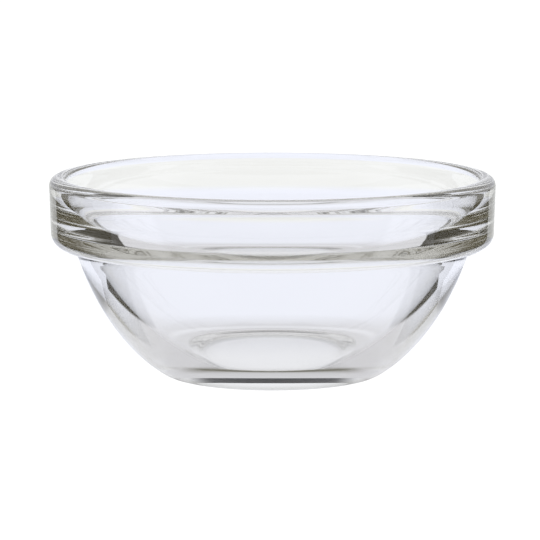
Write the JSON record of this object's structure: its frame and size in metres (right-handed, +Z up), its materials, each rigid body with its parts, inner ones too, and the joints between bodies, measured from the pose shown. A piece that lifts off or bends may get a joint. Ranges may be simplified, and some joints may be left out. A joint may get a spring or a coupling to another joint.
{
  "type": "stackable glass bowl",
  "caption": "Small round clear glass bowl with a thick upright band, a stacking shoulder under it and a narrower rounded body on a flat foot.",
  "frame": {"origin": "centre of the circle that the foot stands on", "axes": "+Z up along the bowl's axis, X and Y any two level directions"},
  "size_m": [0.102, 0.102, 0.0462],
  "materials": {
    "clear_glass": "clear fire-polished pressed glass, very smooth"
  },
  "bodies": {
    "root": {"glass_bowl": "clear_glass"}
  },
  "joints": []
}
